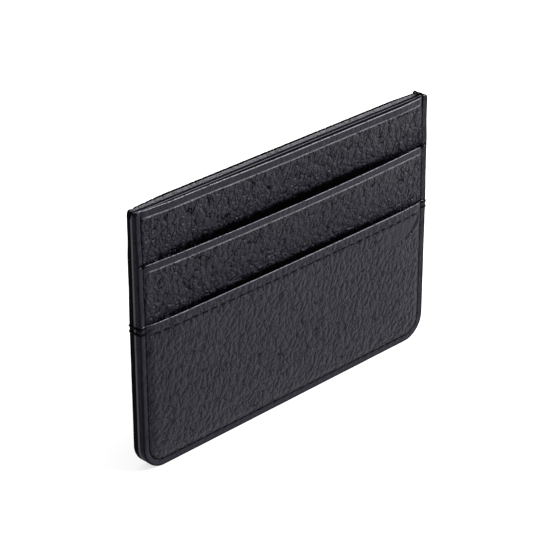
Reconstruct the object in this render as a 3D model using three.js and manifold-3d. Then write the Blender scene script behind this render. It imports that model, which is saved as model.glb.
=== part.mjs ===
// A slim leather card holder, standing on its lower edge. Two mirrored stacks, front and back,
// are sewn together round three sides and leave a pocket between them that opens at the top.
// Each stack carries an upper and a lower card pocket on its outer face.
// Millimetres. X runs along the width, Y through the thickness (front at -Y) and Z up.
import * as THREE from "three";
import { mergeVertices } from "three/addons/utils/BufferGeometryUtils.js";
import Module from "manifold-3d";

const wasm = await Module();
wasm.setup();

// Outline of the holder.
const WIDTH = 100;
const HEIGHT = 70;
const BOTTOM_CORNER_RADIUS = 6.5;
const TOP_CORNER_RADIUS = 0.9;

// Heights of the pocket mouths, and the T-shaped cut of the upper pocket behind the lower one.
const UPPER_MOUTH_Z = 56;
const LOWER_MOUTH_Z = 40.3;
const TAB_BOTTOM_Z = 35;
const STEM_HALF_WIDTH = 43.5;
const FOOT_Z = 8;
const T_CUT_RADIUS = 2;

// Sheets of one stack, from the central pocket outwards: [clear gap before the sheet, thickness].
const LAYERS = {
  lining: [0.2, 0.3],
  stiffener: [0.05, 0.3],
  panel: [0.05, 0.55],
  upper_pocket_lining: [0.05, 0.15],
  upper_pocket: [0.05, 0.5],
  lower_pocket_lining: [0.05, 0.15],
  lower_pocket: [0.05, 1.4],
};

// How far the inner sheets stay back from the outline, so that no seam gets too thick.
const LINING_INSET = 0.4;
const PANEL_BOTTOM_INSET = 0.2;
const POCKET_LINING_INSET = 0.8;
const STIFFENER_INSET = 4;
const STIFFENER_TOP_DROP = 2;

// Sewing. Every thread lies sunk in a groove that it presses into the sheets.
const SEAM_INSET = 1.8;
const MOUTH_SEAM_DROP = 2.7;
const FOOT_SEAM_RISE = 2;
const THREAD_RADIUS = 0.12;
const THREAD_SINK = 0.14;
const THREAD_SIDES = 6;
const GROOVE_RADIUS = 0.17;
const STEP_CLEARANCE = 0.4;
const CORNER_STEPS = 6;
const WRAP_DROPS = [0.7, 2.2];
const WRAP_REACH = 0.6;
const TACK_OFFSET = 0.8;
const TACK_REACH = 1.6;
const TOP_WRAP_LEG = 3.2;

// Corners closer together than this are one corner.
const WELD_DISTANCE = 1e-4;

const MATERIALS = {
  leather: { color: 0x1b1b1f, roughness: 0.5, metalness: 0 },
  lining: { color: 0x232327, roughness: 0.85, metalness: 0 },
  stiffener: { color: 0x2a2622, roughness: 0.9, metalness: 0 },
  thread: { color: 0x141416, roughness: 0.6, metalness: 0 },
};

// Distance of each sheet's inner and outer face from the central plane.
const FACES = {};
let reached = 0;
for (const [name, [gap, thickness]] of Object.entries(LAYERS)) {
  FACES[name] = { inner: reached + gap, outer: reached + gap + thickness };
  reached += gap + thickness;
}

// The three levels of the stepped outer face, bottom up, each with the top of its sheet.
const TIERS = {
  lower: { face: FACES.lower_pocket.outer, top: LOWER_MOUTH_Z },
  upper: { face: FACES.upper_pocket.outer, top: UPPER_MOUTH_Z },
  panel: { face: FACES.panel.outer, top: HEIGHT },
};

function material(kind) {
  return new THREE.MeshStandardMaterial(MATERIALS[kind]);
}

// A closed solid from a geometry whose faces do not share their corners yet.
function toSolid(geometry) {
  const bare = geometry.clone();
  bare.deleteAttribute("normal");
  bare.deleteAttribute("uv");
  const merged = mergeVertices(bare, WELD_DISTANCE);
  return new wasm.Manifold(new wasm.Mesh({
    numProp: 3,
    vertProperties: new Float32Array(merged.attributes.position.array),
    triVerts: new Uint32Array(merged.index.array),
  }));
}

// A geometry to draw, from a closed solid.
function toGeometry(solid) {
  const mesh = solid.getMesh();
  const geometry = new THREE.BufferGeometry();
  geometry.setAttribute("position", new THREE.BufferAttribute(mesh.vertProperties, 3));
  geometry.setIndex(new THREE.BufferAttribute(mesh.triVerts, 1));
  geometry.computeVertexNormals();
  return geometry;
}

// A rectangle in X and Z with round lower corners and small round upper ones.
function roundedOutline(top, inset, bottomInset, topRadius) {
  const half = WIDTH / 2 - inset;
  const bottom = bottomInset;
  const radius = BOTTOM_CORNER_RADIUS - inset;
  const shape = new THREE.Shape();
  shape.moveTo(-half + radius, bottom);
  shape.lineTo(half - radius, bottom);
  shape.absarc(half - radius, bottom + radius, radius, -Math.PI / 2, 0, false);
  shape.lineTo(half, top - topRadius);
  shape.absarc(half - topRadius, top - topRadius, topRadius, 0, Math.PI / 2, false);
  shape.lineTo(-half + topRadius, top);
  shape.absarc(-half + topRadius, top - topRadius, topRadius, Math.PI / 2, Math.PI, false);
  shape.lineTo(-half, bottom + radius);
  shape.absarc(-half + radius, bottom + radius, radius, Math.PI, 1.5 * Math.PI, false);
  return shape;
}

// The T-shaped cut of an upper pocket: wide tabs that reach the side seams, and a narrower stem.
function teeOutline(inset, topDrop) {
  const half = WIDTH / 2 - inset;
  const stem = STEM_HALF_WIDTH - inset;
  const top = UPPER_MOUTH_Z - topDrop;
  const tab = TAB_BOTTOM_Z + inset;
  const foot = FOOT_Z + inset;
  const shape = new THREE.Shape();
  shape.moveTo(-stem + T_CUT_RADIUS, foot);
  shape.lineTo(stem - T_CUT_RADIUS, foot);
  shape.absarc(stem - T_CUT_RADIUS, foot + T_CUT_RADIUS, T_CUT_RADIUS, -Math.PI / 2, 0, false);
  shape.lineTo(stem, tab - T_CUT_RADIUS);
  shape.absarc(stem + T_CUT_RADIUS, tab - T_CUT_RADIUS, T_CUT_RADIUS, Math.PI, Math.PI / 2, true);
  shape.lineTo(half, tab);
  shape.lineTo(half, top);
  shape.lineTo(-half, top);
  shape.lineTo(-half, tab);
  shape.lineTo(-stem - T_CUT_RADIUS, tab);
  shape.absarc(-stem - T_CUT_RADIUS, tab - T_CUT_RADIUS, T_CUT_RADIUS, Math.PI / 2, 0, true);
  shape.lineTo(-stem, foot + T_CUT_RADIUS);
  shape.absarc(-stem + T_CUT_RADIUS, foot + T_CUT_RADIUS, T_CUT_RADIUS, Math.PI, 1.5 * Math.PI, false);
  return shape;
}

// A flat sheet: the outline stood up in X and Z, with its thickness towards -Y.
function sheetGeometry(shape, thickness) {
  const geometry = new THREE.ExtrudeGeometry(shape, {
    depth: thickness,
    bevelEnabled: false,
    curveSegments: CORNER_STEPS,
  });
  geometry.rotateX(Math.PI / 2);
  return geometry;
}

// Places a sheet of the named layer in the front (side -1) or back (side 1) stack, and presses
// the grooves of the threads into it.
function sheet(side, layer, shape, kind, grooves) {
  const { inner, outer } = FACES[layer];
  const geometry = sheetGeometry(shape, outer - inner);
  geometry.translate(0, side < 0 ? -inner : outer, 0);
  const mesh = new THREE.Mesh(toGeometry(toSolid(geometry).subtract(grooves)), material(kind));
  mesh.name = `${sideName(side)}_${layer}`;
  return mesh;
}

function sideName(side) {
  return side < 0 ? "front" : "back";
}

// A path that runs straight from point to point and has one section at each of them.
class ThreadPath extends THREE.Curve {
  constructor(points) {
    super();
    this.points = points;
  }

  getPoint(share) {
    const place = share * (this.points.length - 1);
    const index = Math.min(Math.floor(place), this.points.length - 2);
    return this.points[index].clone().lerp(this.points[index + 1], place - index);
  }

  getPointAt(share) {
    return this.getPoint(share);
  }

  getTangentAt(share) {
    return this.getTangent(share);
  }
}

// A six-sided section of the given radius, swept through the points.
function sweptGeometry(points, radius) {
  const section = new THREE.Shape();
  for (let side = 0; side < THREAD_SIDES; side += 1) {
    const angle = (side / THREAD_SIDES) * 2 * Math.PI;
    const corner = [radius * Math.cos(angle), radius * Math.sin(angle)];
    if (side === 0) section.moveTo(...corner);
    else section.lineTo(...corner);
  }
  section.closePath();
  return new THREE.ExtrudeGeometry(section, {
    steps: points.length - 1,
    bevelEnabled: false,
    extrudePath: new ThreadPath(points),
  });
}

function threadMesh({ name, points }) {
  const mesh = new THREE.Mesh(sweptGeometry(points, THREAD_RADIUS), material("thread"));
  mesh.name = name;
  return mesh;
}

// The room that a set of threads takes in the sheets, as one solid.
function groovesOf(threads) {
  const tools = threads.map(({ points }) => toSolid(sweptGeometry(points, GROOVE_RADIUS)));
  return tools.reduce((joined, tool) => joined.add(tool));
}

// Y of a thread's centre when it lies in a face at the given distance from the central plane.
function inFace(side, face) {
  return side * (face - THREAD_SINK);
}

// One upright run of the side seam, from the foot of the straight edge up to the top edge,
// stepping back over each pocket mouth.
function seamUpright(side, x, footZ) {
  const points = [];
  const { lower, upper, panel } = TIERS;
  const add = (tier, z) => points.push(new THREE.Vector3(x, inFace(side, tier.face), z));
  add(lower, footZ);
  add(lower, lower.top + STEP_CLEARANCE);
  add(upper, lower.top + STEP_CLEARANCE);
  add(upper, upper.top + STEP_CLEARANCE);
  add(panel, upper.top + STEP_CLEARANCE);
  add(panel, panel.top - SEAM_INSET);
  return points;
}

// The seam round the left, lower and right edges, on the face of one stack.
function perimeterSeam(side) {
  const half = WIDTH / 2 - SEAM_INSET;
  const radius = BOTTOM_CORNER_RADIUS - SEAM_INSET;
  const centreX = half - radius;
  const centreZ = SEAM_INSET + radius;
  const y = inFace(side, TIERS.lower.face);
  const points = seamUpright(side, -half, centreZ).reverse();
  for (let step = 1; step <= CORNER_STEPS; step += 1) {
    const angle = Math.PI + (step / CORNER_STEPS) * (Math.PI / 2);
    points.push(new THREE.Vector3(
      -centreX + radius * Math.cos(angle), y, centreZ + radius * Math.sin(angle)));
  }
  for (let step = 0; step < CORNER_STEPS; step += 1) {
    const angle = 1.5 * Math.PI + (step / CORNER_STEPS) * (Math.PI / 2);
    points.push(new THREE.Vector3(
      centreX + radius * Math.cos(angle), y, centreZ + radius * Math.sin(angle)));
  }
  points.push(...seamUpright(side, half, centreZ));
  return { name: `${sideName(side)}_perimeter_stitch`, points };
}

// A level row of stitches between x = -half and x = half.
function levelRow(name, half, y, z) {
  return { name, points: [new THREE.Vector3(-half, y, z), new THREE.Vector3(half, y, z)] };
}

// The decorative row below the mouth of a lower pocket, between the two side seams.
function mouthSeam(side) {
  const half = WIDTH / 2 - SEAM_INSET - TACK_OFFSET;
  const y = inFace(side, TIERS.lower.face);
  return levelRow(`${sideName(side)}_lower_mouth_stitch`, half, y, LOWER_MOUTH_Z - MOUTH_SEAM_DROP);
}

// The hidden row that sews the foot of an upper pocket down.
function footSeam(side) {
  const half = STEM_HALF_WIDTH - FOOT_SEAM_RISE;
  const y = inFace(side, TIERS.upper.face);
  return levelRow(`${sideName(side)}_pocket_foot_stitch`, half, y, FOOT_Z + FOOT_SEAM_RISE);
}

// A short back-stitch that ties the end of an upper mouth to the panel, beside the side seam.
function mouthTack(side, hand) {
  const x = hand * (WIDTH / 2 - SEAM_INSET - TACK_OFFSET);
  const { upper, panel } = TIERS;
  return {
    name: `${sideName(side)}_${handName(hand)}_mouth_tack`,
    points: [
      new THREE.Vector3(x, inFace(side, panel.face), upper.top + TACK_REACH),
      new THREE.Vector3(x, inFace(side, panel.face), upper.top + STEP_CLEARANCE),
      new THREE.Vector3(x, inFace(side, upper.face), upper.top + STEP_CLEARANCE),
      new THREE.Vector3(x, inFace(side, upper.face), upper.top - TACK_REACH),
    ],
  };
}

function handName(hand) {
  return hand < 0 ? "left" : "right";
}

// Thread whipped twice over the side edge, just below the mouths of the lower pockets.
function edgeWrap(hand) {
  const inner = hand * (WIDTH / 2 - SEAM_INSET + WRAP_REACH);
  const outer = hand * (WIDTH / 2 - THREAD_SINK);
  const front = inFace(-1, TIERS.lower.face);
  const back = inFace(1, TIERS.lower.face);
  const [high, low] = WRAP_DROPS.map((drop) => LOWER_MOUTH_Z - drop);
  return {
    name: `${handName(hand)}_edge_wrap_stitch`,
    points: [
      new THREE.Vector3(inner, back, high),
      new THREE.Vector3(outer, back, high),
      new THREE.Vector3(outer, front, high),
      new THREE.Vector3(inner, front, high),
      new THREE.Vector3(inner, front, low),
      new THREE.Vector3(outer, front, low),
      new THREE.Vector3(outer, back, low),
      new THREE.Vector3(inner, back, low),
    ],
  };
}

// The thread's end, taken once over the top edge at the right-hand corner.
function topWrap() {
  const x = WIDTH / 2 - SEAM_INSET - TACK_OFFSET;
  const top = HEIGHT - THREAD_SINK;
  const front = inFace(-1, TIERS.panel.face);
  const back = inFace(1, TIERS.panel.face);
  return {
    name: "right_top_wrap_stitch",
    points: [
      new THREE.Vector3(x, front, HEIGHT - TOP_WRAP_LEG),
      new THREE.Vector3(x, front, top),
      new THREE.Vector3(x, back, top),
      new THREE.Vector3(x, back, HEIGHT - TOP_WRAP_LEG),
    ],
  };
}

// The threads that belong to one stack.
function stackThreads(side) {
  return [perimeterSeam(side), mouthSeam(side), footSeam(side), mouthTack(side, -1), mouthTack(side, 1)];
}

// The lining, the stiffener and the outer panel, which run the whole height.
function panelSheets(side, grooves) {
  const lining = roundedOutline(HEIGHT - LINING_INSET, LINING_INSET, LINING_INSET, TOP_CORNER_RADIUS);
  const board = roundedOutline(
    HEIGHT - STIFFENER_TOP_DROP, STIFFENER_INSET, STIFFENER_INSET, TOP_CORNER_RADIUS);
  const panel = roundedOutline(HEIGHT, 0, PANEL_BOTTOM_INSET, TOP_CORNER_RADIUS);
  return [
    sheet(side, "lining", lining, "lining", grooves),
    sheet(side, "stiffener", board, "stiffener", grooves),
    sheet(side, "panel", panel, "leather", grooves),
  ];
}

function upperPocket(side, grooves) {
  const lining = teeOutline(POCKET_LINING_INSET, POCKET_LINING_INSET);
  return [
    sheet(side, "upper_pocket_lining", lining, "lining", grooves),
    sheet(side, "upper_pocket", teeOutline(0, 0), "leather", grooves),
  ];
}

function lowerPocket(side, grooves) {
  const top = LOWER_MOUTH_Z - POCKET_LINING_INSET;
  const lining = roundedOutline(top, POCKET_LINING_INSET, POCKET_LINING_INSET, TOP_CORNER_RADIUS);
  const leather = roundedOutline(LOWER_MOUTH_Z, 0, 0, TOP_CORNER_RADIUS);
  return [
    sheet(side, "lower_pocket_lining", lining, "lining", grooves),
    sheet(side, "lower_pocket", leather, "leather", grooves),
  ];
}

function stack(side, sharedThreads) {
  const threads = stackThreads(side);
  const grooves = groovesOf([...threads, ...sharedThreads]);
  const group = new THREE.Group();
  group.add(...panelSheets(side, grooves), ...upperPocket(side, grooves));
  group.add(...lowerPocket(side, grooves), ...threads.map(threadMesh));
  return group;
}

const wraps = [edgeWrap(-1), edgeWrap(1), topWrap()];
const cardHolder = new THREE.Group();
cardHolder.add(stack(-1, wraps), stack(1, wraps), ...wraps.map(threadMesh));

export default cardHolder;
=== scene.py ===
"""A slim stitched leather card holder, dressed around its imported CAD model.

Two flat stacks of stepped card pockets are sewn together round three edges. Each stack has a
lining, a stiffener, a tall outer panel, an upper pocket and a lower pocket. Widths, heights and
depths below are in millimetres; meshes are made in metres. A depth is measured outwards from
the central plane between the two stacks, so front and back share every formula.
"""

import logging
import math
from collections.abc import Callable, Iterable
from dataclasses import dataclass, field
from enum import Enum

import bpy
import numpy as np
from mathutils import Matrix, Vector


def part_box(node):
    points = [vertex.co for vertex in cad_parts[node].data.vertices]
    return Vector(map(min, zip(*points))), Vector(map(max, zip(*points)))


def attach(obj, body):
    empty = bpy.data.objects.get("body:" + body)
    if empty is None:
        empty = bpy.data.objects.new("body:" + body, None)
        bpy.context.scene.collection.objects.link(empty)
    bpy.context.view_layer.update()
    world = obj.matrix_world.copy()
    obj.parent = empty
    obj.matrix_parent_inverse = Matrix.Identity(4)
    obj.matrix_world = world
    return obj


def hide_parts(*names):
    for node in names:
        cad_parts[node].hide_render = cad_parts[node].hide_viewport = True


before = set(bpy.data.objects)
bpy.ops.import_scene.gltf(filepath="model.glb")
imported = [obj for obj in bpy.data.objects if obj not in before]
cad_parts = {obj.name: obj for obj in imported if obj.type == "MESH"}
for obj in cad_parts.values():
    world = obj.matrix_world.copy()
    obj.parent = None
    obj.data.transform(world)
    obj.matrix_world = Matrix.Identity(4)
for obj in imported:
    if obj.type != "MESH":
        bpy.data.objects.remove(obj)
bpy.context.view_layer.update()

MM = 0.001
Array = np.ndarray
Colour = tuple[float, float, float]

log = logging.getLogger("card_holder")


class Place(Enum):
    """A side or an end of the holder."""

    @property
    def label(self) -> str:
        """The word that the names of this place's pieces hold."""
        return self.name.lower()


class Side(Place):
    """The two stacks; the value is the sign of Y on that side."""

    FRONT = -1
    BACK = 1


class Hand(Place):
    """The two ends of the holder, as seen from the front; the value is the sign of X."""

    LEFT = -1
    RIGHT = 1


class Slot(Enum):
    """Material slot names that the sheets carry; nothing in this script uses them."""

    LEATHER = "leather"
    LINING = "lining"
    THREAD = "thread"


# ---------------------------------------------------------------------------------------------
# Numbers


def smooth(start: float, end: float, value: Array | float) -> Array:
    """Rises from 0 at start to 1 at end, with level ends.

    Args:
        start: Where the rise begins.
        end: Where it is complete.
        value: The value or values to look up.

    Returns:
        The height of the rise at each value.
    """
    part = np.clip((np.asarray(value, float) - start) / (end - start), 0.0, 1.0)
    return part * part * (3.0 - 2.0 * part)


def bump(centre: float, width: float, value: Array | float) -> Array:
    """A bell curve of height 1.

    Args:
        centre: Where the curve is highest.
        width: The distance at which it has fallen to 1/e.
        value: The value or values to look up.

    Returns:
        The height of the curve at each value.
    """
    return np.exp(-(((np.asarray(value, float) - centre) / width) ** 2))


def mix(first: Array | float, second: Array | float, share: Array | float) -> Array:
    """Blends two values.

    Args:
        first: The result where share is 0.
        second: The result where share is 1.
        share: The part that the second value takes.

    Returns:
        The blend.
    """
    return first + (second - first) * share


@dataclass
class Undulation:
    """A soft random relief between -1 and 1, as worked leather has."""

    seed: int
    period: float
    size: int = 64
    table: Array = field(init=False)

    def __post_init__(self) -> None:
        """Draws the random heights that the relief passes through."""
        self.table = np.random.default_rng(self.seed).uniform(-1, 1, (self.size, self.size))

    def __call__(self, x: Array, z: Array) -> Array:
        """Looks the relief up.

        Args:
            x: Distances across, in millimetres.
            z: Heights, in millimetres.

        Returns:
            The relief at each place.
        """
        across, up = np.asarray(x) / self.period + 17.0, np.asarray(z) / self.period + 5.0
        column, row = np.floor(across).astype(int), np.floor(up).astype(int)
        right, above = smooth(0, 1, across - column), smooth(0, 1, up - row)
        corner = [self.table[(row + j) % self.size, (column + i) % self.size]
                  for j in (0, 1) for i in (0, 1)]
        return mix(mix(corner[0], corner[1], right), mix(corner[2], corner[3], right), above)


# ---------------------------------------------------------------------------------------------
# The cutting pattern


@dataclass(frozen=True)
class Pattern:
    """The outline that all the sheets share, in millimetres."""

    half_width: float
    height: float
    upper_mouth: float
    lower_mouth: float
    stem_half_width: float
    stem_foot: float
    tab_bottom: float = 35.0
    corner: float = 6.5
    top_corner: float = 0.9
    coat: float = 0.12
    seam_inset: float = 1.8
    pitch: float = 3.0
    mouth_seam_drop: float = 2.7
    crease_drop: float = 1.85
    foot_seam_rise: float = 2.0
    tack_offset: float = 0.8

    @classmethod
    def from_frame(cls) -> "Pattern":
        """Reads the driving sizes off the CAD nodes.

        Returns:
            The pattern.
        """
        panel, upper, lower = (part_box(f"front_{name}")[1] / MM
                               for name in ("panel", "upper_pocket", "lower_pocket"))
        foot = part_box("front_pocket_foot_stitch")
        return cls(
            half_width=panel[0],
            height=panel[2],
            upper_mouth=upper[2],
            lower_mouth=lower[2],
            stem_half_width=foot[1][0] / MM + cls.foot_seam_rise,
            stem_foot=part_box("front_upper_pocket")[0][2] / MM,
        )

    @property
    def straight(self) -> float:
        """Half the straight part of the bottom edge."""
        return self.half_width - self.corner

    def edge_distance(self, x: Array, z: Array) -> Array:
        """How far places lie in from the sides and the bottom.

        Args:
            x: Distances across.
            z: Heights.

        Returns:
            The distance to the nearest of the three sewn edges.
        """
        across = np.abs(x)
        corner_x, corner_z = across - self.straight, self.corner - np.asarray(z, float)
        in_corner = (corner_x > 0) & (corner_z > 0)
        return np.where(in_corner, self.corner - np.hypot(corner_x, corner_z),
                        np.minimum(self.half_width - across, z))

    def seam_run(self, x: Array, z: Array) -> Array:
        """How far along the side seam places lie.

        Args:
            x: Distances across.
            z: Heights.

        Returns:
            The run from the middle of the bottom, the same on both hands.
        """
        across, z = np.abs(x), np.asarray(z, float)
        radius = self.corner - self.seam_inset
        turn = np.arctan2(np.maximum(across - self.straight, 0),
                          np.maximum(self.corner - z, 1e-6))
        beside = self.straight + radius * math.pi / 2 + (z - self.corner)
        in_corner = (across > self.straight) & (z < self.corner)
        below = np.where(in_corner, self.straight + radius * turn, across)
        return np.where(z >= self.corner, beside, below)

    def path(self, run: Array, inset: Array | float) -> tuple[Array, Array, Array, Array]:
        """Places along the three sewn edges.

        Args:
            run: Signed distance along the path from the middle of the bottom.
            inset: How far the path lies in from the edge.

        Returns:
            x and z of each place, and the x and z of its outward normal.
        """
        radius = self.corner - inset
        arc = radius * math.pi / 2
        hand, length = np.where(run < 0, -1.0, 1.0), np.abs(run)
        turn = np.clip((length - self.straight) / radius, 0, math.pi / 2)
        x = np.minimum(length, self.straight) + radius * np.sin(turn)
        z = self.corner - radius * np.cos(turn) + np.maximum(length - self.straight - arc, 0)
        return hand * x, z, hand * np.sin(turn), -np.cos(turn)

    def path_half_length(self, inset: float, top: float) -> float:
        """Length of the path from the middle of the bottom to a height on one side.

        Args:
            inset: How far the path lies in from the edge.
            top: The height at which it ends.

        Returns:
            The length in millimetres.
        """
        return self.straight + (self.corner - inset) * math.pi / 2 + top - self.corner

    def inward(self, x: Array, z: Array) -> tuple[Array, Array]:
        """Share of the way in from the side seam: at once, and slowly.

        Args:
            x: Distances across.
            z: Heights.

        Returns:
            A quick rise just inside the seam, and a slow one towards the middle.
        """
        distance = self.edge_distance(x, z)
        return smooth(1.9, 4.0, distance), smooth(2.4, 12.0, distance)

    def bow(self, x: Array) -> Array:
        """How far a mouth stands open along its width, from 0 at the seams to 1 at the middle."""
        reach = self.half_width - self.seam_inset
        return np.clip(1 - (np.asarray(x) / reach) ** 2, 0, 1) ** 0.9

    def needle_hole(self, run: Array) -> Array:
        """Nearness to a needle hole along a row: 1 in a hole and 0 midway between two."""
        return 0.5 + 0.5 * np.cos(2 * math.pi * run / self.pitch)

    def corner_cut(self, beyond: Array) -> Array:
        """How far a rounded top corner draws an edge in, at places beyond its start."""
        over = np.maximum(beyond, 0)
        return self.top_corner - np.sqrt(np.maximum(self.top_corner**2 - over**2, 0))


# ---------------------------------------------------------------------------------------------
# Shader maths


class Link:
    """A value between shader nodes; Python's operators add the nodes that work it out."""

    def __init__(self, recipe: "Recipe", socket: bpy.types.NodeSocket) -> None:
        """Wraps one output socket of the recipe's node tree."""
        self.recipe = recipe
        self.socket = socket

    def _math(self, operation: str, *values: "Link | float") -> "Link":
        """Adds one Math node.

        Args:
            operation: The Math node's operation.
            values: Its inputs, in order.

        Returns:
            The node's result.
        """
        return self.recipe.add("ShaderNodeMath", dict(enumerate(values)), operation=operation)

    def __add__(self, other: "Link | float") -> "Link":
        """self + other."""
        return self._math("ADD", self, other)

    __radd__ = __add__

    def __sub__(self, other: "Link | float") -> "Link":
        """self - other."""
        return self._math("SUBTRACT", self, other)

    def __rsub__(self, other: "Link | float") -> "Link":
        """other - self."""
        return self._math("SUBTRACT", other, self)

    def __mul__(self, other: "Link | float") -> "Link":
        """self * other."""
        return self._math("MULTIPLY", self, other)

    __rmul__ = __mul__

    def sine(self) -> "Link":
        """The sine of the value."""
        return self._math("SINE", self)

    def rise(self, start: float, end: float) -> "Link":
        """Rises from 0 at start to 1 at end, with level ends.

        Args:
            start: The value at which the rise begins.
            end: The value at which it is complete.

        Returns:
            The height of the rise.
        """
        limits = {"Value": self, "From Min": start, "From Max": end}
        return self.recipe.add("ShaderNodeMapRange", limits, interpolation_type="SMOOTHSTEP")


@dataclass
class Recipe:
    """One material while its nodes are being laid out."""

    name: str
    material: bpy.types.Material = field(init=False)

    def __post_init__(self) -> None:
        """Makes the empty material."""
        self.material = bpy.data.materials.new(self.name)
        self.material.use_nodes = True
        self.material.node_tree.nodes.clear()

    def add(self, kind: str, inputs: dict | None = None, output: int | str = 0,
            **settings: object) -> Link:
        """Adds one node.

        Args:
            kind: The node's type.
            inputs: Values or links for its sockets, by name or index.
            output: The output that is wanted.
            settings: The node's own settings, set before its sockets.

        Returns:
            The wanted output.
        """
        node = self.material.node_tree.nodes.new(kind)
        for key, value in settings.items():
            setattr(node, key, value)
        for key, value in (inputs or {}).items():
            if isinstance(value, Link):
                self.material.node_tree.links.new(value.socket, node.inputs[key])
            else:
                node.inputs[key].default_value = value
        return Link(self, node.outputs[output])

    def place(self, cell: Colour, turn: float = 0.0) -> Link:
        """Object coordinates measured in cells.

        Args:
            cell: The cell's size along X, Y and Z, in millimetres.
            turn: How far the cells lean over, about Y, in radians.

        Returns:
            The coordinates.
        """
        where = self.add("ShaderNodeTexCoord", output="Object")
        return self.add(
            "ShaderNodeMapping",
            {"Vector": where, "Rotation": (0, turn, 0), "Scale": tuple(c * MM for c in cell)},
            vector_type="TEXTURE",
        )

    def wobble(self, vector: Link, period: float, amount: float) -> Link:
        """Shifts coordinates about at random.

        Args:
            vector: The coordinates.
            period: How many of their units one wave of the shift takes.
            amount: The size of the shift.

        Returns:
            The shifted coordinates.
        """
        noise = self.add("ShaderNodeTexNoise", {"Vector": vector, "Scale": 1 / period}, "Color")
        centred = self.add("ShaderNodeVectorMath", {0: noise, 1: (0.5, 0.5, 0.5)},
                           operation="SUBTRACT")
        shift = self.add("ShaderNodeVectorMath", {0: centred, "Scale": amount},
                         operation="SCALE")
        return self.add("ShaderNodeVectorMath", {0: vector, 1: shift}, operation="ADD")

    def noise(self, cell: Colour, turn: float = 0.0, detail: float = 2.0) -> Link:
        """Soft random values round a half.

        Args:
            cell: The size over which they change, along X, Y and Z, in millimetres.
            turn: How far the pattern leans over, about Y, in radians.
            detail: How much finer noise is laid over it.

        Returns:
            The values.
        """
        sockets = {"Vector": self.place(cell, turn), "Scale": 1.0, "Detail": detail}
        return self.add("ShaderNodeTexNoise", sockets)

    def walls(self, vector: Link) -> Link:
        """Distance from the walls between random cells, in cells."""
        return self.add("ShaderNodeTexVoronoi", {"Vector": vector, "Scale": 1.0}, "Distance",
                        feature="DISTANCE_TO_EDGE")

    def stored(self, name: str) -> Link:
        """A value that the piece stores at each point."""
        return self.add("ShaderNodeAttribute", output="Fac", attribute_name=name)

    def tint(self, first: Colour, second: Colour, share: Link) -> Link:
        """Blends two colours.

        Args:
            first: The colour where share is 0.
            second: The colour where share is 1.
            share: The second colour's part.

        Returns:
            The blend.
        """
        colours = {"Factor": share, 6: (*first, 1), 7: (*second, 1)}
        return self.add("ShaderNodeMix", colours, 2, data_type="RGBA")

    def finish(self, colour: Link, roughness: Link | float, height: Link, depth: float,
               constants: dict | None = None, dark: Link | None = None) -> bpy.types.Material:
        """Closes the material with a surface shader.

        Args:
            colour: The base colour.
            roughness: The roughness.
            height: The relief, about 0 to 1.
            depth: What a relief of 1 stands for, in millimetres.
            constants: Further shader settings that are the same all over.
            dark: Share of each place painted as shade: there the surface is mixed towards a
                near-black, barely reflecting shader.

        Returns:
            The finished material.
        """
        normal = self.add("ShaderNodeBump", {"Height": height, "Distance": depth * MM})
        sockets = {"Base Color": colour, "Roughness": roughness, "Normal": normal}
        shader = self.add("ShaderNodeBsdfPrincipled", sockets | (constants or {}))
        # Painted shade: mixes the near-black surface in by the given share.
        if dark is not None:
            painted_shade = self.add("ShaderNodeBsdfPrincipled", PAINTED_SHADE_SURFACE)
            shader = self.add("ShaderNodeMixShader", {0: dark, 1: shader, 2: painted_shade})
        self.add_output(shader)
        return self.material

    def add_output(self, shader: Link) -> None:
        """Joins the shader to the material's output."""
        nodes, links = self.material.node_tree.nodes, self.material.node_tree.links
        links.new(shader.socket, nodes.new("ShaderNodeOutputMaterial").inputs["Surface"])


# ---------------------------------------------------------------------------------------------
# Finishes

# Painted shade: a near-black, barely reflecting surface that materials mix in where they paint
# shade.
PAINTED_SHADE_SURFACE = {"Base Color": (0.0008, 0.0008, 0.001, 1), "Roughness": 0.9,
                "Specular IOR Level": 0.05, "IOR": 1.08}


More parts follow.
